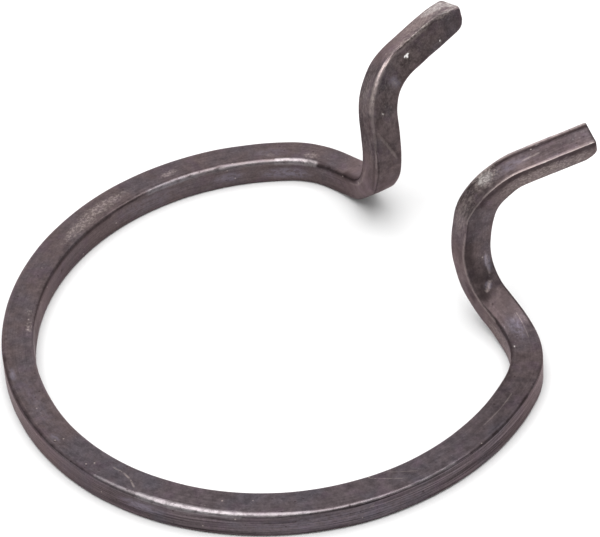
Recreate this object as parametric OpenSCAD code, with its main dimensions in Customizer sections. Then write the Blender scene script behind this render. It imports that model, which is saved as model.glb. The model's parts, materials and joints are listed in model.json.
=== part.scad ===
// Internal snap ring: one length of rectangular spring wire, coiled to an open ring that springs
// out into the groove of a bore. Each end curls in clear of the bore's wall, lifts out of the
// ring's plane and turns outward as a finger tab. Squeezing the two tabs together frees the ring.
// The ring's axis is Z, its underside lies at z = 0 and its gap opens towards +X, so the left end
// is on the +Y side and the right end on the -Y side. Sizes are in millimetres and degrees.

/* [Wire] */
// Width of the wire, across the ring
wire_w = 4.8; // [3.5:0.1:6]
// Thickness of the wire, along the ring's axis
wire_t = 4.2; // [3:0.1:5.5]
// Radius of the wire's rounded long edges
edge_r = 0.5; // [0.2:0.05:1]

/* [Ring] */
// Outside diameter of the ring when it is free
ring_od = 80; // [64:0.5:120]
// Angle from the middle of the gap to where either end leaves the circle
gap_half_angle = 55; // [48:1:70]

/* [Curl: each end turns in, still flat in the ring's plane] */
// Radius of the curl, to the middle of the wire
curl_r = 13; // [8:0.5:18]
// How far the curl turns
curl_angle = 36; // [20:1:45]

/* [Lift: the end goes on turning in as it starts to climb] */
// Radius of the lift and of the rise that follows it
lift_r = 10.5; // [8:0.5:15]
// How far the lift turns
lift_angle = 41; // [30:1:50]
// Direction of the lift round the wire: 0 is towards the ring's centre and 90 straight up
lift_roll = 49; // [40:1:70]
// Straight length between the lift and the rise
lead_length = 1; // [0.5:0.5:5]

/* [Rise: the end is stood up across the ring's plane] */
// How far the left end's rise turns
left_rise_angle = 79; // [55:1:85]
// Direction of the left end's rise round the wire
left_rise_roll = 101; // [90:1:115]
// How far the right end's rise turns
right_rise_angle = 63; // [55:1:85]
// Direction of the right end's rise round the wire
right_rise_roll = 108; // [90:1:115]
// Straight length between the rise and the bend of the tab
post_length = 3.5; // [1:0.5:10]

/* [Tab: the end turns out over the mouth of the bore] */
// Radius of the bend that turns the tab out
tab_bend_r = 7.5; // [5:0.5:10]
// How far that bend turns
tab_bend_angle = 73; // [55:1:90]
// Direction of that bend round the wire: 180 is straight away from the ring's centre
tab_bend_roll = 168; // [150:1:180]
// Straight length of the left tab, along the middle of the wire
left_tab_length = 11.6; // [8:0.1:25]
// Straight length of the right tab, along the middle of the wire
right_tab_length = 12; // [8:0.1:25]

/* [Pressed faces, where the forming tools squeezed the wire] */
// Depth pressed into the right tab's upper and lower faces
tab_press = 0.7; // [0.2:0.05:1]
// Radius of the tool that carries the upper press back over the right tab's bend
upper_tool_r = 14; // [12:0.5:18]
// How far along the tab that tool's radius begins
upper_tool_start = 1.5; // [0.5:0.25:3]
// Radius of the tool in the inside of the right tab's bend
lower_tool_r = 4; // [3:0.25:4.5]
// How far along the tab that tool's radius begins
lower_tool_start = 0.5; // [0.25:0.25:2]
// Depth of the flat pressed under the left end, where it starts to rise
elbow_flat = 0.85; // [0.2:0.05:1]
// How far into the left rise the middle of that flat lies
elbow_flat_angle = 14; // [5:1:30]

/* [Tips: a shear blade cuts the wire off and draws the edge it enters round] */
// Where the blade enters the left tip, round the wire from the side that faces the ring's centre
left_blade_turn = -45; // [-60:5:60]
// Slant of the left cut, which leaves the wire longer where the blade enters
left_cut_slant = 25; // [0:1:30]
// Depth of the rounding there, at the very end
left_draw_depth = 1.4; // [0.3:0.1:1.6]
// Length over which the left edge is drawn round
left_draw_length = 3; // [1.5:0.1:4]
// Where the blade enters the right tip
right_blade_turn = 150; // [120:5:240]
// Slant of the right cut
right_cut_slant = 0; // [0:1:30]
// Depth of the rounding there, at the very end
right_draw_depth = 0.9; // [0.3:0.1:1.6]
// Length over which the right edge is drawn round
right_draw_length = 2; // [1.5:0.1:4]

/* [Hidden] */
$fn = 120;
spring_steel = [0.36, 0.33, 0.34];

// Radius of the ring, to the middle of the wire
mean_r = (ring_od - wire_w) / 2;
// Lengths of the wire are modelled by turns full size and slim, which is a hair under it all
// round. A slim length runs on a short lap inside each neighbour, so the wire is one solid.
hair = 0.01;
lap = 0.2;
// Every length is modelled with +Z along the wire, +X towards the ring's centre and +Y up,
// and these angles turn what is revolved into that frame
along_wire = [90, 0, 180];
// How far a cutter reaches past the wire
past = 2;

// Rolled section of the wire, width along X and thickness along Y
module wire_section(slim = false) {
    w = slim ? wire_w - 2 * hair : wire_w;
    t = slim ? wire_t - 2 * hair : wire_t;
    square([w, t - 2 * edge_r], center = true);
    square([w - 2 * edge_r, t], center = true);
    for (x = [-1, 1], y = [-1, 1])
        translate([x * (w / 2 - edge_r), y * (t / 2 - edge_r)])
            circle(r = edge_r);
}

// Carries what follows round to the far end of a bend
module past_bend(radius, angle, roll) {
    rotate([0, 0, roll])
        translate([radius, 0, 0])
            rotate([0, angle, 0])
                translate([-radius, 0, 0])
                    rotate([0, 0, -roll])
                        children();
}

// A bend towards the direction that roll gives, and what follows, carried on from its far end
module bend(radius, angle, roll, slim = false) {
    lap_angle = slim ? lap / radius * 180 / PI : 0;
    rotate([0, 0, roll])
        translate([radius, 0, 0])
            rotate([0, -lap_angle, 0])
                rotate(along_wire)
                    rotate_extrude(angle = angle + 2 * lap_angle)
                        translate([radius, 0])
                            rotate(roll)
                                wire_section(slim);
    past_bend(radius, angle, roll)
        children();
}

// A slim straight length, and what follows, carried on from its far end
module straight(length) {
    translate([0, 0, -lap])
        linear_extrude(length + 2 * lap)
            wire_section(slim = true);
    translate([0, 0, length])
        children();
}

// What the shear takes off: all beyond the cut, and the rounding of the edge the blade enters.
// width and corner_r are those of the section that it cuts.
module shear(blade_turn, slant, draw_depth, draw_length, width = wire_w, corner_r = edge_r) {
    corner_x = width / 2 - corner_r;
    corner_y = wire_t / 2 - corner_r;
    reach = abs(cos(blade_turn)) * corner_x + abs(sin(blade_turn)) * corner_y + corner_r;
    draw_r = (pow(draw_length, 2) + pow(draw_depth, 2)) / (2 * draw_depth);
    side = wire_w + wire_t;
    rotate([0, 0, blade_turn]) {
        rotate([0, -slant, 0])
            translate([-side / 2, -side / 2, 0])
                cube([side, side, wire_w]);
        // The rounding is an arc that leaves the wire tangentially and meets the cut
        translate([reach, 0, reach * tan(slant) - draw_length])
            difference() {
                translate([-draw_depth - past, -side / 2, 0])
                    cube([draw_depth + 2 * past, side, draw_length + past]);
                translate([-draw_r, 0, 0])
                    rotate([90, 0, 0])
                        cylinder(r = draw_r, h = side + past, center = true);
            }
    }
}

// A tab, out past where it will be cut off
module uncut_tab(length) {
    translate([0, 0, -lap])
        linear_extrude(lap + length + past)
            wire_section(slim = true);
}

// The left tab, from the end of its bend to its sheared tip
module left_tab() {
    difference() {
        uncut_tab(left_tab_length);
        translate([0, 0, left_tab_length])
            shear(left_blade_turn, left_cut_slant, left_draw_depth, left_draw_length);
    }
}

// What the presses take off the right tab, seen from the end of its bend. Each face is flat
// along the tab. Towards the bend the upper one runs out on a broad radius and the lower one
// on a tight radius, both tangent to the flat.
module tab_presses() {
    face_x = wire_w / 2 - tab_press;
    side = wire_t + 2 * past;
    reach_back = tab_bend_r + wire_w;
    translate([face_x, -side / 2, upper_tool_start])
        cube([wire_w, side, right_tab_length + past]);
    difference() {
        translate([face_x - wire_w, -side / 2, -reach_back])
            cube([2 * wire_w, side, reach_back + upper_tool_start]);
        translate([face_x - upper_tool_r, 0, upper_tool_start])
            rotate([90, 0, 0])
                cylinder(r = upper_tool_r, h = side + past, center = true);
    }
    translate([-face_x - wire_w, -side / 2, lower_tool_start])
        cube([wire_w, side, right_tab_length + past]);
    translate([-face_x - lower_tool_r, 0, lower_tool_start])
        rotate([90, 0, 0])
            cylinder(r = lower_tool_r, h = side, center = true);
}

// The right tab with its bend, pressed thinner, which leaves its long edges sharp, and then cut off
module right_tab() {
    difference() {
        bend(tab_bend_r, tab_bend_angle, tab_bend_roll)
            uncut_tab(right_tab_length);
        past_bend(tab_bend_r, tab_bend_angle, tab_bend_roll) {
            tab_presses();
            translate([0, 0, right_tab_length])
                shear(right_blade_turn, right_cut_slant, right_draw_depth, right_draw_length,
                      width = wire_w - 2 * tab_press, corner_r = 0);
        }
    }
}

// What the flat under the left end takes off, seen from the start of the lift
module under_flat() {
    side = wire_w + 2 * past;
    past_bend(lift_r, lift_angle, lift_roll)
        translate([0, 0, lead_length])
            past_bend(lift_r, elbow_flat_angle, left_rise_roll)
                translate([-side / 2, elbow_flat - wire_t / 2 - wire_t, -wire_w - past])
                    cube([side, wire_t, 2 * (wire_w + past)]);
}

// Carries one end of the wire to where it leaves the circle
module from_circle() {
    rotate([0, 0, -gap_half_angle])
        translate([mean_r, 0, wire_t / 2])
            rotate(along_wire)
                children();
}

module right_end() {
    from_circle()
        bend(curl_r, curl_angle, 0, slim = true)
        bend(lift_r, lift_angle, lift_roll)
        straight(lead_length)
        bend(lift_r, right_rise_angle, right_rise_roll)
        straight(post_length)
        right_tab();
}

// The left end as if it were on the right: the ring mirrors it
module left_end() {
    from_circle()
        bend(curl_r, curl_angle, 0, slim = true)
        difference() {
            bend(lift_r, lift_angle, lift_roll)
            straight(lead_length)
            bend(lift_r, left_rise_angle, left_rise_roll)
            straight(post_length)
            bend(tab_bend_r, tab_bend_angle, tab_bend_roll)
            left_tab();
            under_flat();
        }
}

// The open circle that sits in the groove
module open_circle() {
    rotate([0, 0, gap_half_angle])
        rotate_extrude(angle = 360 - 2 * gap_half_angle)
            translate([mean_r, wire_t / 2])
                wire_section();
}

module snap_ring() {
    color(spring_steel)
        union() {
            open_circle();
            right_end();
            mirror([0, 1, 0])
                left_end();
        }
}

snap_ring();
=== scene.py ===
import json
import math

import bpy
import numpy as np
from mathutils import Matrix, Vector


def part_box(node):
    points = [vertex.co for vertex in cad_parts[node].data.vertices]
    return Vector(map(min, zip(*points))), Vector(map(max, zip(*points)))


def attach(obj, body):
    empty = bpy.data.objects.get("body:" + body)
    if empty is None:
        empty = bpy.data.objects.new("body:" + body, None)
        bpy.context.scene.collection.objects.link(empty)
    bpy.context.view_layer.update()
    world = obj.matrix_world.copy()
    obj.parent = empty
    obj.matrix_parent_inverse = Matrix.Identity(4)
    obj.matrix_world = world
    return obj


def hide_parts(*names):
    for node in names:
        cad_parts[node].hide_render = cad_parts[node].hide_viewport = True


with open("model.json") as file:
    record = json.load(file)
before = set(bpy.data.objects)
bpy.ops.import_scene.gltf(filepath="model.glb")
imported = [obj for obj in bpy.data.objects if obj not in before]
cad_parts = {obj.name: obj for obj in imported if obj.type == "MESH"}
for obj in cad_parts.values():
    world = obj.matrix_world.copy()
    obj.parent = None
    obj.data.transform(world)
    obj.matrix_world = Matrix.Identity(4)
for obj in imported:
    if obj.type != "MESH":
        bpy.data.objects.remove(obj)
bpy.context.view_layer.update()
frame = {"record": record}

# ---------------------------------------------------------------------------------------------
# The wire: one length of rectangular spring steel, rolled with rounded long edges. It is coiled
# to an open circle and its two ends are bent one bend after another on a forming machine, so its
# whole shape is a list of bends, each with a length, a curvature and a direction round the wire.

MM = 0.001
TOP_FACE = frame["record"]["mounts"][2]["pos_m"]
WIRE_T = TOP_FACE[2]
WIRE_W = 4.8 * MM
RING_OUTER_R = -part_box("snap_ring")[0].x
RING_R = RING_OUTER_R - WIRE_W / 2
GAP_HALF_ANGLE = 55
LEAD_LENGTH = 1.0 * MM
POST_LENGTH = 3.5 * MM
LEFT_TAB_LENGTH = 11.6 * MM
RIGHT_TAB_LENGTH = 12.0 * MM

# Each bend's radius in millimetres, how far it turns, and its direction round the wire, where 0 is
# towards the ring's centre and 90 is straight up
LIFT_R = 10.5
CURL = (13.0, 36, 0)
LIFT = (LIFT_R, 41, 49)
LEFT_RISE = (LIFT_R, 79, 101)
RIGHT_RISE = (LIFT_R, 63, 108)
TAB_BEND = (7.5, 73, 168)

BEND_EASE = 0.7 * MM      # how gently the wire runs into and out of a bend
WALK_STEP = 0.05 * MM


def bend(radius, angle, roll):
    """One bend as its length, its curvature towards the ring's centre and its curvature up."""
    radius *= MM
    return (radius * math.radians(angle),
            math.cos(math.radians(roll)) / radius,
            math.sin(math.radians(roll)) / radius)


def straight(length):
    """A straight length in the same form."""
    return (length, 0.0, 0.0)


def half_wire(rise, tab_length):
    """Every length of one half of the wire, from the back of the ring to the tip."""
    half_circle = RING_R * math.radians(180 - GAP_HALF_ANGLE)
    return [(half_circle, 1 / RING_R, 0.0), bend(*CURL), bend(*LIFT), straight(LEAD_LENGTH),
            bend(*rise), straight(POST_LENGTH), bend(*TAB_BEND), straight(tab_length)]


def walk(lengths):
    """Centre, heading, inward and upward directions at each small step, and where lengths end."""
    ends = np.cumsum([length for length, _, _ in lengths])
    steps = int(round(ends[-1] / WALK_STEP))
    step = ends[-1] / steps
    middles = (np.arange(steps) + 0.5) * step
    of_lengths = np.array([(inward, up) for _, inward, up in lengths])
    curvature = of_lengths[np.searchsorted(ends, middles)]
    reach = int(3 * BEND_EASE / step)
    weight = np.exp(-0.5 * (np.arange(-reach, reach + 1) * step / BEND_EASE) ** 2)
    weight /= weight.sum()
    padded = np.pad(curvature, ((reach, reach), (0, 0)), mode="edge")
    eased = np.stack([np.convolve(padded[:, k], weight, "valid") for k in (0, 1)], axis=1)
    centre = Vector((-RING_R, 0, WIRE_T / 2))
    axes = [Vector((0, -1, 0)), Vector((1, 0, 0)), Vector((0, 0, 1))]
    track = [(centre.copy(), *[axis.copy() for axis in axes])]
    for towards_centre, up in eased:
        heading = axes[0]
        turn = math.hypot(towards_centre, up) * step
        if turn > 1e-9:
            side = (axes[1] * towards_centre + axes[2] * up).normalized()
            half_turn = Matrix.Rotation(turn / 2, 3, heading.cross(side))
            heading = half_turn @ heading
            axes = [half_turn @ (half_turn @ axis) for axis in axes]
        centre = centre + heading * step
        track.append((centre.copy(), *[axis.copy() for axis in axes]))
    return np.array([[list(vector) for vector in row] for row in track]), ends


RING_SPACING = 0.34 * MM
END_SPACING = 0.2 * MM


def stations(track, ends):
    """Sections picked from a fine track: closer together along the formed end than the circle."""
    step = ends[-1] / (len(track) - 1)
    circle = np.linspace(0, ends[0], int(ends[0] / RING_SPACING))
    formed = np.linspace(ends[0], ends[-1], int((ends[-1] - ends[0]) / END_SPACING))[1:]
    picked = np.round(np.concatenate([circle, formed]) / step).astype(int)
    return track[picked], picked * step


right_track, right_ends = walk(half_wire(RIGHT_RISE, RIGHT_TAB_LENGTH))
left_track, left_ends = walk(half_wire(LEFT_RISE, LEFT_TAB_LENGTH))
left_track[:, :, 1] *= -1
right_half, right_along = stations(right_track, right_ends)
left_half, left_along = stations(left_track, left_ends)

# Up to the rise both halves are alike
circle_end, curl_end, lift_end, lead_end, right_rise_end = right_ends[:5]
right_tab_start = right_ends[-2]

# The two halves become one run from the left tip to the right tip. Distance along it is counted
# from the back of the ring, and is negative on the left half.
run = np.concatenate([left_half[:0:-1], right_half])
along = np.concatenate([-left_along[:0:-1], right_along])
centres, headings, inward, upward = (run[:, k] for k in range(4))

# ---------------------------------------------------------------------------------------------
# The section: a rectangle with rolled, rounded corners. Bending thickens it towards the inside of
# each bend and thins it towards the outside. The presses squeezed the right tab's wide faces
# closer together, and the corners that rub in use are worn rounder.

EDGE_R = 0.5 * MM
PRESSED_EDGE_R = 0.22 * MM
TAB_EDGE_R = 0.32 * MM    # the inner edge of the right arm's top, reached over this stretch
TAB_EDGE_FROM, TAB_EDGE_TO = 106 * MM, 114 * MM
EDGE_UNEVEN = 0.10        # how much the radii vary, with swells of this size along and round
EDGE_SWELL = (5 * MM, 4 * MM)
KEYSTONE = 0.2            # how much of a bend's stretch shows as a change of thickness
TAB_PRESS = 0.7 * MM
UPPER_TOOL_R, UPPER_TOOL_START = 14.0 * MM, 1.5 * MM
LOWER_TOOL_R, LOWER_TOOL_START = 4.0 * MM, 0.5 * MM
PRESS_TRIALS = 400
FLAT_POINTS = 13
EDGE_POINTS = 6
ROUND = 2 * (WIRE_W + WIRE_T)
RIPPLE_REACH = 150 * MM   # more than the longer half of the wire
n_stations = len(along)

# The corners in the order that section_rings goes round them: which side across the wire, which
# side up it, and the direction that the corner's arc starts in
CORNERS = ((-1, -1, 270), (-1, 1, 180), (1, 1, 90), (1, -1, 0))
OUTER_TOP, INNER_TOP, INNER_UNDER = 1, 2, 3

# Worn corners: which one, from where to where along the wire, over what length the wear fades, and
# what it adds to the radius, in millimetres
WORN_CORNERS = ((INNER_UNDER, -122, -115, 3, 0.22), (INNER_TOP, -88, -58, 4, 0.25),
                (INNER_TOP, 94, 111, 4, 0.15), (OUTER_TOP, 18, 36, 9, 0.325))


def smooth(value, low, high):
    """0 below low, 1 above high and an even ramp between them."""
    t = np.clip((value - low) / (high - low), 0, 1)
    return t * t * (3 - 2 * t)


def between(value, first, last, ramp):
    """1 from first to last, fading to 0 over the ramp on either side."""
    return smooth(value, first - ramp, first) * (1 - smooth(value, last, last + ramp))


def ripple(seed, u, v, size_u, size_v):
    """Soft bumps from -1 to 1 of about the given size, which close up round the wire."""
    columns, rows = int(2 * RIPPLE_REACH / size_u) + 2, int(ROUND / size_v)
    lattice = np.random.default_rng(seed).uniform(-1, 1, (columns, rows))
    x, y = (u + RIPPLE_REACH) / size_u, (v / ROUND % 1) * rows
    i, j = np.floor(x).astype(int), np.floor(y).astype(int)
    fx, fy = smooth(x - i, 0, 1), smooth(y - j, 0, 1)
    low = lattice[i, j % rows] * (1 - fx) + lattice[i + 1, j % rows] * fx
    high = lattice[i, (j + 1) % rows] * (1 - fx) + lattice[i + 1, (j + 1) % rows] * fx
    return low * (1 - fy) + high * fy


def press_limits():
    """How far each section reaches inward and outward between the right tab's press tools."""
    start = int(np.argmin(np.abs(along - right_tab_start)))
    origin, ahead, across = centres[start], headings[start], inward[start]
    face = WIRE_W / 2 - TAB_PRESS
    reach = np.linspace(0, WIRE_W / 2, PRESS_TRIALS)
    limits = np.full((n_stations, 2), WIRE_W / 2)
    for s in np.flatnonzero(along > right_rise_end):
        points = centres[s] - origin + reach[:, None] * inward[s]
        before_tool = np.maximum(UPPER_TOOL_START - points @ ahead, 0)
        upper = np.hypot(before_tool, points @ across - face + UPPER_TOOL_R) > UPPER_TOOL_R
        points = centres[s] - origin - reach[:, None] * inward[s]
        before_tool = np.maximum(LOWER_TOOL_START - points @ ahead, 0)
        from_axis = np.hypot(before_tool, -(points @ across) - face - LOWER_TOOL_R)
        lower = (from_axis < LOWER_TOOL_R) | ((before_tool == 0) & (-(points @ across) > face))
        for side, pressed in enumerate((upper, lower)):
            if pressed.any():
                limits[s, side] = reach[max(np.argmax(pressed) - 1, 0)]
    return limits.T


def corner_radii(in_reach, out_reach):
    """The radius of each section's corners, in the order of CORNERS."""
    ring_of = {}
    for side, reach in (("in", in_reach), ("out", out_reach)):
        pressed = smooth((WIRE_W / 2 - reach) / (TAB_PRESS / 2), 0, 1)
        ring_of[side] = EDGE_R + (PRESSED_EDGE_R - EDGE_R) * pressed
    on_tab = smooth(along, TAB_EDGE_FROM, TAB_EDGE_TO)
    inner_top = np.where(along > 0, EDGE_R + (TAB_EDGE_R - EDGE_R) * on_tab, ring_of["in"])
    radii = np.stack([ring_of["out"], ring_of["out"], inner_top, ring_of["in"]])
    for corner, first, last, fade, rounder in WORN_CORNERS:
        radii[corner] += rounder * MM * between(along, first * MM, last * MM, fade * MM)
    at_corner = np.arange(4)[:, None] * ROUND / 4
    return radii * (1 + EDGE_UNEVEN * ripple(3, along[None], at_corner, *EDGE_SWELL))


def section_rings():
    """Points round every section as (inward, upward), which way each faces, how far round it is.

    The run round starts at the outer edge of the underside and goes up the outer face, in along
    the top, down the inner face and back along the underside.
    """
    in_reach, out_reach = press_limits()
    radii = corner_radii(in_reach, out_reach)
    sides = {-1: out_reach, 1: in_reach}
    arcs, arc_facing = [], []
    for (across, up, start), radius in zip(CORNERS, radii):
        turn = np.radians(start - 90 * np.arange(EDGE_POINTS + 1) / EDGE_POINTS)
        facing = np.stack([np.cos(turn), np.sin(turn)], axis=-1)
        corner = np.stack([across * (sides[across] - radius), up * (WIRE_T / 2 - radius)], axis=-1)
        arcs.append(corner[:, None] + radius[:, None, None] * facing)
        arc_facing.append(np.broadcast_to(facing, arcs[-1].shape))
    corner_at = np.cumsum([0, WIRE_T, WIRE_W, WIRE_T, WIRE_W])
    share = (np.arange(1, FLAT_POINTS) / FLAT_POINTS)[:, None]
    points, ways, distance = [], [], []
    for k in range(4):
        first, last = arcs[k][:, -1:], arcs[(k + 1) % 4][:, :1]
        points += [arcs[k], first + (last - first) * share]
        ways += [arc_facing[k], np.repeat(arc_facing[k][:, -1:], FLAT_POINTS - 1, axis=1)]
        flat_start, flat_end = corner_at[k] + EDGE_R, corner_at[k + 1] - EDGE_R
        distance += [corner_at[k] + np.linspace(-EDGE_R, EDGE_R, EDGE_POINTS + 1),
                     np.linspace(flat_start, flat_end, FLAT_POINTS + 1)[1:-1]]
    return np.concatenate(points, axis=1), np.concatenate(ways, axis=1), np.concatenate(distance)


sections, facings, around = section_rings()
n_round = len(around)

# How fast the heading turns inward and upward at each section says how much it is keystoned
towards = np.gradient(headings, along, axis=0)
towards[along < 0] *= -1
bend_in = np.einsum("sk,sk->s", towards, inward)
bend_up = np.einsum("sk,sk->s", towards, upward)
pull_in, pull_up = KEYSTONE * bend_in[:, None], KEYSTONE * bend_up[:, None]
thickness = 1 + pull_in * sections[..., 0]
width = 1 + pull_up * sections[..., 1]
on_curl = smooth(np.abs(along), circle_end, curl_end)[:, None]
clear_of_floor = smooth(np.abs(along), curl_end, lift_end)[:, None]
sections[..., 0] *= 1 + (np.minimum(width, 1) - 1) * on_curl
free_to_swell = np.where(sections[..., 1] < 0, clear_of_floor, on_curl)
sections[..., 1] *= 1 + (thickness - 1) * free_to_swell

# ---------------------------------------------------------------------------------------------
# Wear and tool marks in the surface. Rolling and coiling leave it gently uneven, the corners that
# rub in use are nicked, and the grips and mandrels that formed the ends left dents and creases.

UNEVEN = 0.035 * MM
FINE_SHARE = 0.4          # height of the finer swells, where the broad ones are 1
FLOOR_FADE = 0.3 * MM
NICK = 0.06 * MM
NICK_SPREAD = (0.25, 0.75)
NICK_FADE = 5

# Places on the wire are (distance along it, distance round it) in millimetres, where the outer
# face is 0 to 4.2 round, the top is 4.2 to 9, the inner face is 9 to 13.2 and the underside is
# last. Nicked corners run from one distance along to another, at a distance round.
NICKED_CORNERS = ((10, 64, WIRE_T / MM), (-89, -56, (WIRE_T + WIRE_W) / MM),
                  (-128, -104, (2 * WIRE_T + WIRE_W) / MM), (96, 116, (WIRE_T + WIRE_W) / MM))

# Dents: along, round, half length, half height, depth
DENTS = ((-126.4, 15.1, 0.55, 0.35, 0.14), (-125.2, 15.7, 0.5, 0.45, 0.16),
         (-122.3, 16.2, 1.1, 1.2, 0.05), (99.6, 8.3, 1.1, 0.7, 0.10), (101.5, 6.8, 0.8, 0.9, 0.09),
         (103.2, 7.2, 0.9, 0.9, 0.08), (105.5, 5.6, 1.7, 0.5, 0.07), (119.8, 11.6, 1.0, 0.9, 0.10),
         (-37.3, 10.9, 0.4, 0.35, 0.06), (29.6, 3.6, 0.5, 0.3, 0.05), (50.5, 3.0, 0.35, 0.3, 0.06),
         (8.2, 8.0, 0.3, 0.25, 0.05), (88.7, 8.2, 0.3, 0.3, 0.05), (-107.5, 15.6, 2.2, 1.5, 0.06),
         (-112.0, 12.9, 2.0, 0.5, 0.08), (102.5, 11.0, 1.6, 0.8, 0.06))

# Creases run from one place to another: along, round, along, round, half width, depth
CREASES = ((-115.0, 13.8, -110.2, 17.6, 0.35, 0.09), (-117.0, 14.1, -113.5, 13.2, 0.22, 0.10),
           (-113.5, 13.2, -109.5, 13.7, 0.22, 0.12), (-109.5, 13.7, -104.5, 13.3, 0.22, 0.12),
           (-114.0, 12.4, -105.5, 12.6, 0.18, 0.08), (-133.0, 13.0, -125.4, 13.1, 0.20, 0.08),
           (-107.0, 10.3, -97.0, 10.2, 0.15, 0.03), (117.0, 8.3, 136.0, 8.2, 0.45, 0.05),
           (118.0, 12.3, 136.0, 12.3, 0.22, 0.11), (97.0, 8.6, 113.0, 8.5, 0.35, 0.05))


def from_line(u, v, u0, v0, u1, v1):
    """Distance of every point of the unrolled surface from a straight line between two places."""
    share = ((u - u0) * (u1 - u0) + (v - v0) * (v1 - v0)) / ((u1 - u0) ** 2 + (v1 - v0) ** 2)
    share = np.clip(share, 0, 1)
    return np.hypot(u - u0 - share * (u1 - u0), v - v0 - share * (v1 - v0))


def worn_depth():
    """How far the surface has gone in at every point, in metres."""
    u, v = along[:, None] + 0 * around, around + 0 * along[:, None]
    broad = ripple(11, u, v, 9 * MM, 6 * MM)
    fine = ripple(12, u, v, 3 * MM, 2.5 * MM)
    depth = UNEVEN * (1 + FINE_SHARE - broad - FINE_SHARE * fine)
    gripped = smooth(np.abs(u), circle_end, curl_end)
    depth += gripped * UNEVEN * (1 - ripple(15, u, v, 2.2 * MM, 1.6 * MM))
    underneath = between(v, WIRE_T * 2 + WIRE_W, ROUND, FLOOR_FADE)
    depth *= 1 - underneath * (np.abs(u) < circle_end)
    small, large = ripple(13, u, v, 0.9 * MM, 0.8 * MM), ripple(14, u, v, 2.2 * MM, 1 * MM)
    nicks = np.maximum(small + 0.5 * large, 0)
    u, v = u / MM, v / MM
    for first, last, corner in NICKED_CORNERS:
        near = 1 - smooth(np.abs(v - corner), *NICK_SPREAD)
        depth += NICK * nicks ** 2 * near * between(u, first, last, NICK_FADE)
    for at_u, at_v, half_u, half_v, deep in DENTS:
        depth += deep * MM * np.exp(-((u - at_u) / half_u) ** 2 - ((v - at_v) / half_v) ** 2)
    for u0, v0, u1, v1, half_width, deep in CREASES:
        depth += deep * MM * np.exp(-(from_line(u, v, u0, v0, u1, v1) / half_width) ** 2)
    return depth


sections -= facings * worn_depth()[..., None]
rings = (centres[:, None] + sections[..., :1] * inward[:, None]
         + sections[..., 1:] * upward[:, None])

# The forming tool left a flat under the left end, where the wire turns up from the ring. Both of
# its long edges are rubbed round.
ELBOW_FLAT = 0.85 * MM
ELBOW_ANGLE = 14          # how far into the rise the middle of the flat lies
ELBOW_REACH = 8 * MM
ELBOW_ROUNDING = 0.55 * MM
SOFTNESS = 0.06 * MM
RUBBED_SOFTNESS = 3 * SOFTNESS


def held_back(depth, softness):
    """How much of a depth beyond a tool's face is pushed back, with a soft edge to the mark."""
    return softness * np.logaddexp(0, depth / softness)


elbow_along = -(lead_end + LIFT_R * MM * math.radians(ELBOW_ANGLE))
elbow = int(np.argmin(np.abs(along - elbow_along)))
near_elbow = np.abs(along - elbow_along) < ELBOW_REACH
face_point = centres[elbow] - upward[elbow] * (WIRE_T / 2 - ELBOW_FLAT)
below = (rings[near_elbow] - face_point) @ -upward[elbow]
rings[near_elbow] += held_back(below, SOFTNESS)[..., None] * upward[elbow]
for side in (-inward[elbow], inward[elbow]):
    corner_way = (side - upward[elbow]) / math.sqrt(2)
    corner_point = face_point + side * WIRE_W / 2 - corner_way * ELBOW_ROUNDING
    beyond = (rings[near_elbow] - corner_point) @ corner_way
    rings[near_elbow] -= held_back(beyond, RUBBED_SOFTNESS)[..., None] * corner_way

# ---------------------------------------------------------------------------------------------
# The tips: a shear blade cuts the wire to length. The edge that it enters is drawn round, and the
# cut face is smooth where the blade slid through and torn where the steel broke away ahead of it.

LEFT_TIP, RIGHT_TIP = 0, -1      # the first and the last section
DRAWN_SIDE = 0.75         # from this share of the tip's reach on, its rim is the edge that is drawn
TIP_RINGS = 12
LIP_SHARE = 0.03          # width of the lip, as a share of the way to the middle of the cut
TIP_LIP = 0.02 * MM
TORN_STEP = 0.12 * MM
TORN_ROUGH = 0.10 * MM
ALL_TORN, ALL_SMOOTH = -0.1, 0.25
RIM_BREAK = 0.12 * MM


def slant_tip(tip, blade_turn, slant, blend_length):
    """Slides the last sections of one end along to a slanted cut. Gives the blade's direction."""
    turn, slope = math.radians(blade_turn), math.tan(math.radians(slant))
    blade = inward[tip] * math.cos(turn) + upward[tip] * math.sin(turn)
    back = np.abs(along - along[tip])
    for s in np.flatnonzero(back < blend_length):
        across = (rings[s] - centres[tip]) @ blade
        slide = across * slope * (1 - smooth(back[s], 0, blend_length))
        rings[s] += slide[:, None] * headings[tip]
    return blade


def draw_edge(tip, direction, depth, length):
    """Rolls one side of a tip over, on an arc that leaves the wire tangentially."""
    turn = math.radians(direction)
    way = inward[tip] * math.cos(turn) + upward[tip] * math.sin(turn)
    rim = rings[tip] - centres[tip]
    reach = (rim @ way).max()
    end = (rim @ headings[tip])[rim @ way > DRAWN_SIDE * reach].max()
    arc_r = (length ** 2 + depth ** 2) / (2 * depth)
    for s in np.flatnonzero(np.abs(along - along[tip]) < 2 * length + WIRE_W):
        local = rings[s] - centres[tip]
        into = np.clip(local @ headings[tip] - end + length, 0, length)
        limit = reach - arc_r + np.sqrt(arc_r ** 2 - into ** 2)
        pushed = held_back(local @ way - limit, SOFTNESS) * smooth(into, 0, length / 3)
        rings[s] -= pushed[:, None] * way


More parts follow.
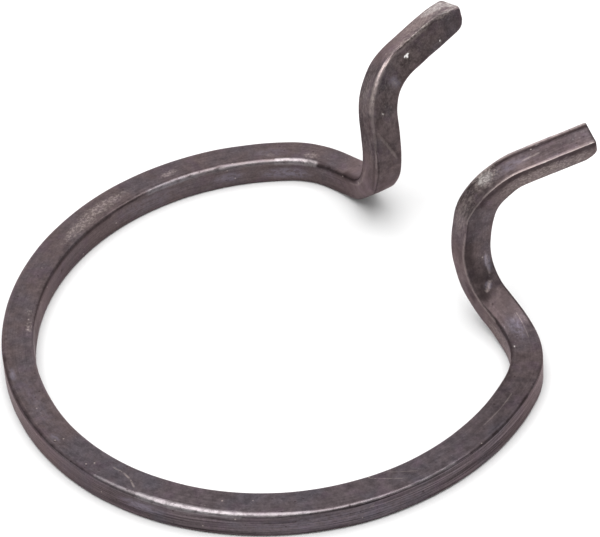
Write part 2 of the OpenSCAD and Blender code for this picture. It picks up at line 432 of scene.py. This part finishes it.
def cut_face(tip, blade, seed):
    """Rings of points that fill one tip: a narrow lip, then the smooth and the torn part."""
    rim, heading = rings[tip], headings[tip]
    middle = rim.mean(axis=0)
    rng = np.random.default_rng(seed)
    torn = rng.uniform(-1, 1, (TIP_RINGS, n_round))
    torn = (torn + np.roll(torn, 1, axis=1) + np.roll(torn, -1, axis=1)) / 3
    reach = ((rim - middle) @ blade).max()
    face = []
    for k in range(1, TIP_RINGS + 1):
        inset = LIP_SHARE + (1 - LIP_SHARE) * (k - 1) / TIP_RINGS
        points = rim + (middle - rim) * inset
        how_torn = 1 - smooth((points - middle) @ blade / reach, ALL_TORN, ALL_SMOOTH)
        rise = TIP_LIP - TORN_STEP * how_torn + TORN_ROUGH * how_torn * torn[k - 1]
        face.append(points + rise[:, None] * heading)
    return face + [np.broadcast_to(middle + (TIP_LIP - TORN_STEP) * heading, (1, 3))]


def break_rim(tip, step):
    """Takes the sharpness off the very edge of a tip, over its last two sections."""
    for back, inset in ((0, RIM_BREAK), (1, RIM_BREAK / 4)):
        ring = tip + back * step
        inwards = rings[ring].mean(axis=0) - rings[ring]
        inwards /= np.linalg.norm(inwards, axis=1)[:, None]
        rings[ring] += inset * inwards


left_blade = slant_tip(LEFT_TIP, blade_turn=-45, slant=25, blend_length=7 * MM)
draw_edge(LEFT_TIP, direction=-30, depth=1.9 * MM, length=7.5 * MM)
draw_edge(LEFT_TIP, direction=25, depth=0.55 * MM, length=3.5 * MM)
draw_edge(LEFT_TIP, direction=180, depth=1.0 * MM, length=2.0 * MM)
break_rim(LEFT_TIP, step=1)
right_blade = slant_tip(RIGHT_TIP, blade_turn=150, slant=0, blend_length=3 * MM)
draw_edge(RIGHT_TIP, direction=150, depth=0.9 * MM, length=2 * MM)
draw_edge(RIGHT_TIP, direction=0, depth=0.15 * MM, length=0.8 * MM)
break_rim(RIGHT_TIP, step=-1)
left_face = cut_face(LEFT_TIP, left_blade, seed=21)
right_face = cut_face(RIGHT_TIP, right_blade, seed=22)

# ---------------------------------------------------------------------------------------------
# The whole ring as one closed skin, from the left cut face to the right one. It stands in for the
# ring of the CAD model. Its map "unrolled" holds millimetres along and round the wire, and on the
# cut faces millimetres along and across the way the blade went.

TIP_MAP_STEP = 0.2
TOP_MIDDLE = (WIRE_T + WIRE_W / 2) / MM
run_of_rings = left_face[-2::-1] + list(rings) + right_face[:-1]
beyond_tip = np.arange(1, TIP_RINGS + 1) * TIP_MAP_STEP
run_u = np.concatenate([along[0] / MM - beyond_tip[::-1], along / MM,
                        along[-1] / MM + beyond_tip])
vertices = np.concatenate(run_of_rings + [left_face[-1], right_face[-1]])
index = np.arange(len(run_of_rings) * n_round).reshape(-1, n_round)
before, after = index[:-1], index[1:]
quads = np.stack([before, np.roll(before, -1, axis=1), np.roll(after, -1, axis=1), after], axis=-1)
left_middle, right_middle = len(vertices) - 2, len(vertices) - 1
faces = [tuple(quad) for quad in quads.reshape(-1, 4)]
faces += [(left_middle, index[0][(k + 1) % n_round], index[0][k]) for k in range(n_round)]
faces += [(right_middle, index[-1][k], index[-1][(k + 1) % n_round]) for k in range(n_round)]
mesh = bpy.data.meshes.new("snap_ring_wire")
mesh.from_pydata([tuple(vertex) for vertex in vertices], [], faces)
mesh.update()
mesh.shade_smooth()
unrolled = mesh.uv_layers.new(name="unrolled")
run_v = np.append(around, around[0] + ROUND) / MM
uv = np.empty((len(run_of_rings) - 1, n_round, 4, 2))
uv[..., 0] = np.stack([run_u[:-1], run_u[:-1], run_u[1:], run_u[1:]], axis=-1)[:, None, :]
uv[..., 1] = np.stack([run_v[:-1], run_v[1:], run_v[1:], run_v[:-1]], axis=-1)[None]


def map_cut(tip, blade, points):
    """Maps a cut face flat, with its lines running the way the blade went."""
    local = (points - centres[tip]) / MM
    return np.stack([along[tip] / MM + local @ blade,
                     TOP_MIDDLE + local @ np.cross(headings[tip], blade)], axis=-1)


# Strip k of the map lies between rings k and k + 1, and each tip ends in a fan round its middle
cuts = ((LEFT_TIP, left_blade, left_middle, range(TIP_RINGS)),
        (RIGHT_TIP, right_blade, right_middle, range(len(uv) - TIP_RINGS, len(uv))))
fans = []
for tip, blade, middle, strips in cuts:
    for k in strips:
        near, far = (map_cut(tip, blade, ring) for ring in run_of_rings[k:k + 2])
        uv[k] = np.stack([near, np.roll(near, -1, axis=0), np.roll(far, -1, axis=0), far], axis=1)
    rim = map_cut(tip, blade, run_of_rings[tip])
    next_on_rim = np.roll(rim, -1, axis=0)
    centre = np.broadcast_to(map_cut(tip, blade, vertices[middle]), rim.shape)
    pair = (next_on_rim, rim) if tip == LEFT_TIP else (rim, next_on_rim)
    fans.append(np.stack([centre, *pair], axis=1))
all_uv = np.concatenate([part.reshape(-1, 2) for part in (uv, *fans)])
unrolled.uv.foreach_set("vector", all_uv.ravel())
snap_ring = bpy.data.objects.new("snap_ring_wire", mesh)
bpy.context.scene.collection.objects.link(snap_ring)
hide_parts("snap_ring")
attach(snap_ring, "root")

# ---------------------------------------------------------------------------------------------
# Marks on the surface, as soft patches and lines held on the mesh: pale where it is scuffed, dark
# where oxide is thick, blue where temper colours bloom, and rubbed bright along worn corners.
# The pale and rubbed marks also hold painted highlights and glints, and the dark marks hold painted
# shade.

# Patches and lines fade between these distances from their middle, counted in half sizes
PATCH_FADE = (0.35, 1.25)
LINE_FADE = (0.3, 1.5)

# Patches: along, round, half length, half height, amount
# Pale patches: scuffs and bare steel, and also painted highlights on faces and corners that catch
# the light; the highest amounts are painted glints
PALE_SCUFFS_AND_HIGHLIGHTS = ((-50.5, 6.8, 6.0, 1.3, 0.95), (-45.5, 7.3, 5.0, 1.2, 0.95), (-63.0, 7.0, 1.6, 0.8, 1.0),
        (-85.6, 7.5, 1.4, 0.8, 1.0), (-21.6, 8.2, 1.8, 0.6, 0.8), (-25.0, 7.8, 0.8, 0.8, 0.6),
        (119.4, 11.6, 2.3, 1.7, 1.33), (114.5, 11.3, 4.0, 1.8, 0.9), (127.3, 9.15, 0.5, 0.3, 1.5),
        (134.6, 9.3, 0.5, 0.3, 1.5), (-135.2, 11.0, 3.8, 2.4, 1.38), (-137.2, 12.3, 1.8, 1.7, 1.45),
        (-119.2, 13.2, 1.4, 0.4, 1.2), (-122.4, 16.2, 0.9, 1.0, 0.8),
        (-117.5, 15.1, 0.25, 0.25, 2.0), (-132.7, 17.0, 0.25, 0.3, 2.0),
        (-120.5, 11.0, 3.5, 2.2, 0.8), (-136.0, 13.8, 3.4, 1.1, 1.3),
        (-130.5, 13.5, 6.0, 0.55, 1.2), (-126.65, 15.15, 0.45, 0.26, 3.0),
        (-126.2, 15.1, 0.3, 0.22, 3.0), (-126.5, 15.4, 0.2, 0.22, 2.6),
        (-132.5, 11.2, 6.5, 2.6, 1.0), (-127.0, 12.6, 3.0, 0.6, 0.8), (127.5, 5.9, 9.5, 2.2, 1.1),
        (-115.0, 11.2, 6.0, 2.0, 0.5), (-124.0, 15.5, 12.0, 2.8, 0.30),
        (-102.0, 9.8, 0.6, 0.35, 1.4), (-118.8, 12.6, 1.2, 0.5, 0.7), (-79.0, 7.5, 0.8, 0.3, 0.8),
        (50.5, 3.0, 0.35, 0.3, 1.2), (54.5, 0.4, 0.4, 0.3, 1.0), (88.7, 8.2, 0.25, 0.25, 2.0),
        (-112.5, 9.9, 0.6, 0.4, 0.8), (92.5, 11.3, 6.5, 1.8, 1.0), (104.5, 11.2, 3.5, 1.6, 0.3))
# Dark patches: thick oxide, and also painted shade laid over faces where they would catch too much
# light
DARK_OXIDE_AND_SHADE_PATCHES = ((100.6, 8.3, 1.5, 0.8, 0.9), (101.8, 7.2, 4.2, 1.9, 0.5), (106.5, 8.2, 3.0, 0.8, 0.7),
        (103.0, 7.2, 1.1, 0.6, 0.8), (98.6, 7.4, 0.6, 0.7, 0.5), (102.0, 10.5, 1.8, 1.1, 1.0),
        (96.5, 8.5, 3.6, 0.8, 0.7), (108.0, 8.3, 8.5, 1.0, 0.55), (96.5, 7.2, 3.2, 2.4, 0.55),
        (127.5, 11.1, 9.5, 1.8, 0.6), (-22.0, 11.0, 5.0, 2.0, 0.8), (-125.2, 15.7, 0.6, 0.6, 0.8),
        (-118.0, 14.8, 2.2, 0.9, 0.4), (-37.3, 10.9, 0.4, 0.35, 1.0), (-93.0, 12.0, 7.0, 1.5, 0.2),
        (-130.5, 14.6, 3.0, 0.8, 0.3), (70.0, 5.4, 5.0, 0.8, 0.25), (-107.5, 15.2, 2.0, 1.3, 0.3))
BLUE = ((-12.0, 5.2, 1.6, 0.5, 0.8), (2.5, 5.7, 1.1, 0.5, 0.7), (19.5, 2.6, 3.5, 1.1, 0.9),
        (45.0, 2.2, 16.0, 1.6, 0.35), (92.3, 6.8, 3.0, 1.2, 0.7), (101.7, 6.6, 0.7, 0.7, 1.6),
        (105.6, 5.4, 1.9, 0.5, 2.0), (-81.8, 11.3, 4.5, 1.2, 0.8), (-72.0, 11.0, 3.0, 1.0, 0.6),
        (-122.3, 16.2, 1.0, 1.2, 1.0), (-79.0, 7.0, 3.0, 1.2, 0.35), (-58.0, 11.0, 8.0, 1.5, 0.3),
        (-62.0, 9.1, 4.0, 0.4, 0.7), (122.5, 11.0, 3.5, 0.9, 0.4), (-5.0, 6.5, 9.0, 1.5, 0.25))

# Lines run from one place to another: along, round, along, round, half width, amount
# Rubbed lines: worn corners rubbed bright, which also carry painted highlights where the corners
# catch the overhead light
RUBBED_AND_HIGHLIGHT_LINES = ((101.0, 7.2, 102.2, 6.1, 0.26, 1.0), (103.6, 5.6, 107.0, 5.3, 0.22, 0.6),
                (12, 4.45, 19, 4.4, 0.22, 0.5), (19, 4.35, 33, 4.3, 0.45, 1.0),
                (33, 4.35, 42, 4.3, 0.28, 0.7), (42, 4.3, 63, 4.3, 0.20, 0.45),
                (-87, 9.0, -80, 9.0, 0.45, 1.0), (-80, 9.05, -67, 9.05, 0.32, 0.5),
                (-67, 9.05, -58.5, 9.1, 0.36, 0.7), (-22, 9.1, 0, 9.1, 0.15, 0.3),
                (-125.5, 13.7, -122.5, 13.3, 0.20, 0.9), (-123.5, 13.25, -117.8, 13.2, 0.42, 1.0),
                (-118.5, 13.3, -115.5, 13.3, 0.28, 0.6), (-117, 13.5, -110, 13.0, 0.25, 0.45),
                (-131.8, 14.0, -125.4, 14.0, 0.20, 0.5), (114, 9.4, 136, 9.25, 0.22, 0.9),
                (96, 9.4, 112, 9.4, 0.30, 0.55), (-107, 10.0, -97, 10.0, 0.14, 0.5),
                (117, 12.85, 136, 12.85, 0.30, 1.0))
# Dark lines: oxide in creases, and also painted shade in the dark bands along corners and folds and
# on the insides of bends
OXIDE_AND_SHADE_LINES = ((99.0, 8.6, 103.2, 5.6, 0.65, 0.9), (-100.5, 8.75, -94.5, 8.85, 0.95, 1.3),
              (-95, 9.0, -86, 8.95, 0.60, 1.1), (-56, 9.2, -50, 9.25, 0.24, 0.9),
              (-50.5, 9.5, -34, 9.45, 0.36, 1.1), (-34, 9.4, -24, 9.5, 0.42, 1.0),
              (-16, 4.55, 11, 4.5, 0.34, 0.9), (66, 4.3, 79, 4.3, 0.35, 1.0),
              (117, 8.3, 136, 8.15, 0.75, 0.95), (86, 9.0, 98, 9.0, 0.52, 0.9),
              (98, 8.8, 114, 8.75, 0.30, 0.7), (117, 12.3, 136, 12.3, 0.27, 1.5),
              (-135.5, 14.3, -132, 13.85, 0.22, 0.9), (-132, 13.85, -125.3, 13.6, 0.26, 1.2),
              (-116.5, 13.9, -113.5, 13.2, 0.20, 0.8), (-113.5, 13.2, -109.5, 13.7, 0.20, 0.9),
              (-109.5, 13.7, -104.5, 13.3, 0.20, 0.9), (-107, 9.1, -93, 9.1, 0.35, 0.8),
              (-114.3, 14.5, -110.3, 17.5, 0.25, 0.5), (-113.5, 12.5, -105.5, 12.6, 0.15, 0.6))


def marks():
    """Pale, dark, blue and rubbed amounts at every point of the mesh's rings. The pale and rubbed
    amounts also hold painted highlights, and the dark amount holds painted shade.
    """
    u, v = along[:, None] / MM + 0 * around, around / MM + 0 * along[:, None]
    found = np.zeros((4,) + u.shape)
    for kind, patches in enumerate((PALE_SCUFFS_AND_HIGHLIGHTS, DARK_OXIDE_AND_SHADE_PATCHES, BLUE)):
        for at_u, at_v, half_u, half_v, amount in patches:
            off = np.hypot((u - at_u) / half_u, (v - at_v) / half_v)
            found[kind] = np.maximum(found[kind], amount * (1 - smooth(off, *PATCH_FADE)))
    for kind, lines in ((1, OXIDE_AND_SHADE_LINES), (3, RUBBED_AND_HIGHLIGHT_LINES)):
        for u0, v0, u1, v1, half_width, amount in lines:
            off = from_line(u, v, u0, v0, u1, v1) / half_width
            found[kind] = np.maximum(found[kind], amount * (1 - smooth(off, *LINE_FADE)))
    return np.moveaxis(found, 0, -1)


marked = np.zeros((len(vertices), 4))
first_marked = TIP_RINGS * n_round
marked[first_marked:first_marked + n_stations * n_round] = marks().reshape(-1, 4)
mesh.attributes.new("marks", "FLOAT_COLOR", "POINT").data.foreach_set("color", marked.ravel())

# ---------------------------------------------------------------------------------------------
# The finish: hardening and tempering leave a dark, satin oxide on the spring steel, brownish with
# blue and purple temper tints. It carries fine drawn lines along the wire, mottling, and paler
# metal where it has been rubbed, scuffed and scratched. Highlights, glints and shade are also
# painted into its colour through the pale, dark and rubbed marks.

steel = bpy.data.materials.new("blackened_spring_steel")
steel.use_nodes = True
nodes, links = steel.node_tree.nodes, steel.node_tree.links
shader = nodes["Principled BSDF"]
mesh.materials.append(steel)


def plug(socket, value):
    """Sets a socket to a number or colour, or links it to another node's output."""
    if isinstance(value, bpy.types.NodeSocket):
        links.new(value, socket)
    else:
        socket.default_value = value


def node(kind, **settings):
    """A new node of the steel's material, with its settings."""
    made = nodes.new(kind)
    for name, value in settings.items():
        setattr(made, name, value)
    return made


def calc(operation, *values):
    """One arithmetic step between sockets or numbers."""
    made = node("ShaderNodeMath", operation=operation)
    for socket, value in zip(made.inputs, values):
        plug(socket, value)
    return made.outputs[0]


def ramp(value, low, high, out_low=0.0, out_high=1.0):
    """An eased change from out_low to out_high as the value goes from low to high."""
    made = node("ShaderNodeMapRange", interpolation_type="SMOOTHSTEP")
    for socket, given in zip(made.inputs, (value, low, high, out_low, out_high)):
        plug(socket, given)
    return made.outputs[0]


def stretched(where, scale_u, scale_v, turn=0.0):
    """The unrolled surface scaled along and round the wire, for patterns that run one way."""
    made = node("ShaderNodeMapping", vector_type="POINT")
    links.new(where, made.inputs["Vector"])
    made.inputs["Scale"].default_value = (scale_u, scale_v, 1)
    made.inputs["Rotation"].default_value = (0, 0, turn)
    return made.outputs[0]


def noise(where, scale, detail=2.0, roughness=0.5):
    """A cloudy pattern with the given number of patches to the millimetre."""
    made = node("ShaderNodeTexNoise", noise_dimensions="3D")
    links.new(where, made.inputs["Vector"])
    for name, value in (("Scale", scale), ("Detail", detail), ("Roughness", roughness)):
        made.inputs[name].default_value = value
    return made.outputs["Fac"]


def blend(share, first, second, blend_type="MIX"):
    """One colour mixed into another by a share from 0 to 1."""
    made = node("ShaderNodeMix", data_type="RGBA", blend_type=blend_type)
    colours = [socket for socket in made.inputs if socket.type == "RGBA"]
    plug(made.inputs[0], share)
    plug(colours[0], first)
    plug(colours[1], second)
    return next(socket for socket in made.outputs if socket.type == "RGBA")


# Where on the wire: "surface" is unrolled and "solid" is in space, both in millimetres
surface = node("ShaderNodeUVMap", uv_map="unrolled").outputs["UV"]
split = node("ShaderNodeSeparateXYZ")
links.new(surface, split.inputs[0])
along_mm, round_mm = split.outputs["X"], split.outputs["Y"]
scaled = node("ShaderNodeMapping")
links.new(node("ShaderNodeTexCoord").outputs["Object"], scaled.inputs["Vector"])
scaled.inputs["Scale"].default_value = (1 / MM, 1 / MM, 1 / MM)
solid = scaled.outputs[0]
attribute = node("ShaderNodeAttribute", attribute_name="marks")
split_marks = node("ShaderNodeSeparateColor")
links.new(attribute.outputs["Color"], split_marks.inputs[0])
scuffs_and_highlights, oxide_and_shade, blue = (split_marks.outputs[name] for name in ("Red", "Green", "Blue"))
rubbed_and_highlight = attribute.outputs["Alpha"]

# Temper tints: warm brown at the formed ends, bluer round the front, and cloudy everywhere
BROWN_OXIDE = (0.096, 0.073, 0.074, 1)
BLUE_OXIDE = (0.073, 0.068, 0.083, 1)
PURPLE_OXIDE = (0.092, 0.066, 0.083, 1)
cloud = noise(solid, 0.13, detail=3.0, roughness=0.6)
front = calc("MULTIPLY", ramp(along_mm, -5.0, 22.0), ramp(along_mm, 95.0, 60.0))
blueness = calc("ADD", calc("MULTIPLY", front, 0.30), ramp(cloud, 0.42, 0.68, 0.0, 0.45))
tint = blend(blueness, BROWN_OXIDE, BLUE_OXIDE)
tint = blend(ramp(noise(solid, 0.4), 0.50, 0.70, 0.0, 0.45), tint, PURPLE_OXIDE)

# Mottling and grain
mottle = noise(solid, 0.75, detail=4.0, roughness=0.6)
grain = noise(solid, 2.8, detail=3.0, roughness=0.65)
tone = calc("MULTIPLY", ramp(mottle, 0.3, 0.7, 0.92, 1.12), ramp(grain, 0.3, 0.7, 0.87, 1.15))

# The formed ends, which were gripped and squeezed, are patchier
worked = ramp(calc("ABSOLUTE", along_mm), 80.0, 100.0)
worked_patches = noise(solid, 0.62, detail=3.0, roughness=0.6)
worked_tone = ramp(worked_patches, 0.36, 0.64, 0.82, 1.22)
worked_change = calc("MULTIPLY_ADD", worked, calc("SUBTRACT", worked_tone, 1.0), 1.0)
tone = calc("MULTIPLY", tone, worked_change)

# Drawn lines along the wire, deepest on the two side faces
OUTER_MIDDLE, INNER_MIDDLE, SIDE_FACE_HALF = 2.1, 11.1, 2.0
lines_fine = noise(stretched(surface, 0.09, 5.0), 1.0, roughness=0.7)
lines_broad = noise(stretched(surface, 0.035, 1.9), 1.0, roughness=0.6)
lines = calc("ADD", calc("MULTIPLY", lines_fine, 0.6), calc("MULTIPLY", lines_broad, 0.4))
on_outer = calc("COMPARE", round_mm, OUTER_MIDDLE, SIDE_FACE_HALF)
on_inner = calc("COMPARE", round_mm, INNER_MIDDLE, SIDE_FACE_HALF)
rough_draw = calc("MULTIPLY", ramp(along_mm, 10.0, 62.0, 2.3, 3.2), on_outer)
line_depth = calc("MAXIMUM", rough_draw, ramp(on_inner, 0.0, 1.0, 0.35, 0.8))
line_swing = calc("SUBTRACT", lines, 0.5)
line_tone = calc("MULTIPLY_ADD", calc("MULTIPLY", line_swing, line_depth), 2.0, 1.0)
tone = calc("MULTIPLY", tone, line_tone)
base = blend(1.0, tint, tone, "MULTIPLY")

# Thick dark oxide and painted shade, blooms of blue, bright rubbed corners with painted highlights,
# pale scuffs with painted highlights, and painted glints on chips
DARK_OXIDE_AND_SHADE = (0.030, 0.021, 0.022, 1)
BLUE_BLOOM = (0.200, 0.178, 0.222, 1)
RUBBED_STEEL_AND_HIGHLIGHT = (0.30, 0.275, 0.285, 1)
WARM_RUBBED_STEEL_AND_HIGHLIGHT = (0.315, 0.260, 0.250, 1)
SCUFFED_STEEL_AND_HIGHLIGHT = (0.36, 0.305, 0.285, 1)
BARE_STEEL_AND_HIGHLIGHT = (0.50, 0.475, 0.46, 1)
CHIP_AND_GLINT_WHITE = (0.95, 0.93, 0.92, 1)
# Thick oxide and painted shade pull the colour down towards dark oxide
base = blend(calc("MULTIPLY", oxide_and_shade, ramp(mottle, 0.3, 0.6, 0.85, 0.60)), base, DARK_OXIDE_AND_SHADE)
broken = noise(stretched(surface, 1.0, 1.6), 1.0, detail=3.0, roughness=0.7)
base = blend(calc("MULTIPLY", blue, ramp(broken, 0.35, 0.62, 0.10, 0.75)), base, BLUE_BLOOM)
# Rubbed corners and painted corner highlights, in neutral steel on the ring and warmer steel on the
# formed ends
bright = calc("MULTIPLY", rubbed_and_highlight, ramp(broken, 0.32, 0.55, 0.25, 0.8))
base = blend(bright, base, blend(worked, RUBBED_STEEL_AND_HIGHLIGHT, WARM_RUBBED_STEEL_AND_HIGHLIGHT))
speckle_noise = noise(stretched(surface, 1.9, 2.4, 0.5), 1.0, detail=3.0, roughness=0.72)
speckle = ramp(speckle_noise, 0.46, 0.62)
# Pale patches, with painted highlights among them, lift the colour to scuffed steel and then to
# bare steel
scuff_and_highlight = calc("MULTIPLY", scuffs_and_highlights, calc("MULTIPLY_ADD", speckle, 0.5, calc("MULTIPLY", scuffs_and_highlights, 0.12)))
base = blend(scuff_and_highlight, base, SCUFFED_STEEL_AND_HIGHLIGHT)
bare_and_highlight = calc("MULTIPLY", ramp(scuffs_and_highlights, 1.1, 1.45), calc("MULTIPLY_ADD", speckle, 0.66, 0.28))
base = blend(bare_and_highlight, base, BARE_STEEL_AND_HIGHLIGHT)
# The small chips are painted near white as glints
base = blend(ramp(scuffs_and_highlights, 1.5, 2.0), base, CHIP_AND_GLINT_WHITE)

# Flecks: tiny pale rubs, thickest on the formed ends that are gripped and squeezed
fleck_noise = noise(stretched(surface, 1.7, 2.8, 0.9), 1.0, detail=3.0, roughness=0.75)
flecks = ramp(fleck_noise, 0.56, 0.74)
thickest = calc("MULTIPLY_ADD", worked, 0.5, 0.5)
patchy = calc("MULTIPLY", thickest, ramp(cloud, 0.40, 0.60, 0.08, 0.38))
base = blend(calc("MULTIPLY", flecks, patchy), base, RUBBED_STEEL_AND_HIGHLIGHT)

# Scratches, each a straight stroke from one place to another with its half width and strength
SCRATCHES = ((12.8, 7.25, 14.8, 7.15, 0.13, 0.7), (14.8, 7.15, 16.4, 6.55, 0.13, 0.8),
             (16.4, 6.55, 17.9, 5.25, 0.12, 0.9), (51.5, 8.4, 56.5, 5.9, 0.06, 0.5),
             (54.0, 8.6, 58.5, 6.3, 0.05, 0.4), (70.8, 6.55, 78.5, 6.5, 0.09, 0.5),
             (90.0, 5.8, 95.5, 5.6, 0.07, 0.5), (-115.2, 13.7, -110.3, 17.1, 0.20, 0.3),
             (124.5, 10.9, 127.5, 11.1, 0.12, 0.45))
SCRATCH_PAST, SCRATCH_TAPER = 0.15, 0.5
scratched = 0.0
for u0, v0, u1, v1, half_width, strength in SCRATCHES:
    length, angle = math.hypot(u1 - u0, v1 - v0), math.atan2(v1 - v0, u1 - u0)
    turned = node("ShaderNodeMapping", vector_type="TEXTURE")
    links.new(surface, turned.inputs["Vector"])
    turned.inputs["Location"].default_value = ((u0 + u1) / 2, (v0 + v1) / 2, 0)
    turned.inputs["Rotation"].default_value = (0, 0, angle)
    stroke = node("ShaderNodeSeparateXYZ")
    links.new(turned.outputs[0], stroke.inputs[0])
    off_middle, off_line = (calc("ABSOLUTE", stroke.outputs[name]) for name in ("X", "Y"))
    within = ramp(off_middle, length / 2 + SCRATCH_PAST, length / 2 - SCRATCH_TAPER)
    deep = ramp(off_line, half_width * 1.6, half_width * 0.5, 0.0, strength)
    scratched = calc("MAXIMUM", scratched, calc("MULTIPLY", within, deep))
scratched = calc("MULTIPLY", scratched, ramp(broken, 0.35, 0.6, 0.3, 1.0))
base = blend(calc("MULTIPLY", scratched, 0.6), base, SCUFFED_STEEL_AND_HIGHLIGHT)

# Pits: sparse dark specks and a few pale ones
specks = node("ShaderNodeTexVoronoi", feature="F1")
links.new(solid, specks.inputs["Vector"])
specks.inputs["Scale"].default_value = 0.85
chosen = node("ShaderNodeSeparateColor")
links.new(specks.outputs["Color"], chosen.inputs[0])
near_speck, lot = specks.outputs["Distance"], chosen.outputs["Red"]
dark_speck = calc("MULTIPLY", ramp(near_speck, 0.17, 0.09), calc("GREATER_THAN", lot, 0.72))
pale_speck = calc("MULTIPLY", ramp(near_speck, 0.15, 0.07), calc("LESS_THAN", lot, 0.13))
base = blend(calc("MULTIPLY", dark_speck, 0.6), base, DARK_OXIDE_AND_SHADE)
base = blend(calc("MULTIPLY", pale_speck, 0.7), base, SCUFFED_STEEL_AND_HIGHLIGHT)
links.new(base, shader.inputs["Base Color"])
shader.inputs["Metallic"].default_value = 1.0
shader.inputs["Specular Tint"].default_value = (0.80, 0.70, 0.71, 1)

# Rougher in the drawn lines, on the formed ends, in thick oxide and painted shade, and in scuffs
# and painted pale highlights
rough = ramp(mottle, 0.3, 0.7, 0.31, 0.41)
for where, amount in ((line_swing, 0.16), (worked, 0.05), (oxide_and_shade, 0.10), (scuff_and_highlight, 0.15)):
    rough = calc("MULTIPLY_ADD", where, amount, rough)
links.new(rough, shader.inputs["Roughness"])

# Relief too fine for the mesh, in millimetres
heights = ((calc("MULTIPLY", lines, line_depth), 0.030), (mottle, 0.008), (dark_speck, -0.012),
           (scuff_and_highlight, 0.008), (calc("MULTIPLY", rubbed_and_highlight, broken), 0.05))
relief = calc("MULTIPLY", grain, 0.006)
for where, height in heights:
    relief = calc("MULTIPLY_ADD", where, height, relief)
bump = node("ShaderNodeBump")
links.new(relief, bump.inputs["Height"])
bump.inputs["Distance"].default_value = MM
bump.inputs["Strength"].default_value = 1.0
links.new(bump.outputs[0], shader.inputs["Normal"])

# ---------------------------------------------------------------------------------------------
# The floor, lights and camera: the ring lies on pale paper under one large softbox, in front of a
# lit wall, and a long lens looks down on it from the side of its right end.

FLOOR_HALF = 3
PAPER = (0.72, 0.72, 0.72, 1)
floor_mesh = bpy.data.meshes.new("floor")
floor_sides = ((-1, -1), (1, -1), (1, 1), (-1, 1))
floor_corners = [(x * FLOOR_HALF, y * FLOOR_HALF, 0) for x, y in floor_sides]
floor_mesh.from_pydata(floor_corners, [], [(0, 1, 2, 3)])
floor = bpy.data.objects.new("floor", floor_mesh)
bpy.context.scene.collection.objects.link(floor)
paper = bpy.data.materials.new("pale_paper")
paper.use_nodes = True
paper_shader = paper.node_tree.nodes["Principled BSDF"]
paper_shader.inputs["Base Color"].default_value = PAPER
paper_shader.inputs["Roughness"].default_value = 0.9
floor_mesh.materials.append(paper)

VIEW_AZIMUTH = -29.517
VIEW_ELEVATION = 41.680
VIEW_ROLL = -4.4285
VIEW_DISTANCE = 0.54175
VIEW_SHIFT_RIGHT = 0.003259
VIEW_SHIFT_UP = 0.008716
LENS = 224.3
SENSOR_WIDTH = 36
VIEW_END = 20


def compass(azimuth, elevation):
    """The direction from the ring to a place at this azimuth and elevation, in degrees."""
    azimuth, elevation = math.radians(azimuth), math.radians(elevation)
    return Vector((math.sin(azimuth) * math.cos(elevation),
                   -math.cos(azimuth) * math.cos(elevation), math.sin(elevation)))


back_axis = compass(VIEW_AZIMUTH, VIEW_ELEVATION)
level_axis = compass(VIEW_AZIMUTH + 90, 0)
rolled = Matrix.Rotation(math.radians(VIEW_ROLL), 3, back_axis)
right_axis, up_axis = rolled @ level_axis, rolled @ back_axis.cross(level_axis)
camera = bpy.data.objects.new("camera", bpy.data.cameras.new("camera"))
bpy.context.scene.collection.objects.link(camera)
camera.data.lens = LENS
camera.data.sensor_width = SENSOR_WIDTH
camera.data.clip_end = VIEW_END
place = (back_axis * VIEW_DISTANCE + right_axis * VIEW_SHIFT_RIGHT + up_axis * VIEW_SHIFT_UP
         + Vector((0, 0, WIRE_T / 2)))
facing = Matrix((right_axis, up_axis, back_axis)).transposed().to_4x4()
camera.matrix_world = Matrix.Translation(place) @ facing
bpy.context.scene.camera = camera


def softbox(name, azimuth, elevation, distance, width, height, power):
    """A soft area light, aimed at the ring from a compass direction seen from the camera."""
    towards = compass(azimuth + VIEW_AZIMUTH, elevation)
    lamp = bpy.data.lights.new(name, "AREA")
    lamp.shape = "RECTANGLE"
    lamp.size, lamp.size_y = width, height
    lamp.energy = power
    made = bpy.data.objects.new(name, lamp)
    made.location = towards * distance
    made.rotation_euler = towards.to_track_quat("Z", "Y").to_euler()
    bpy.context.scene.collection.objects.link(made)


softbox("overhead_softbox", azimuth=-20, elevation=84, distance=1.0, width=0.95, height=1.15,
        power=15)
softbox("back_wall", azimuth=180, elevation=20, distance=1.6, width=2.6, height=1.1, power=12)

STUDIO_WHITE = (1, 1, 1, 1)
STUDIO_STRENGTH = 0.58
world = bpy.data.worlds.new("studio")
bpy.context.scene.world = world
world.use_nodes = True
sky = world.node_tree.nodes["Background"]
sky.inputs["Color"].default_value = STUDIO_WHITE
sky.inputs["Strength"].default_value = STUDIO_STRENGTH
bpy.context.scene.view_settings.view_transform = "Standard"
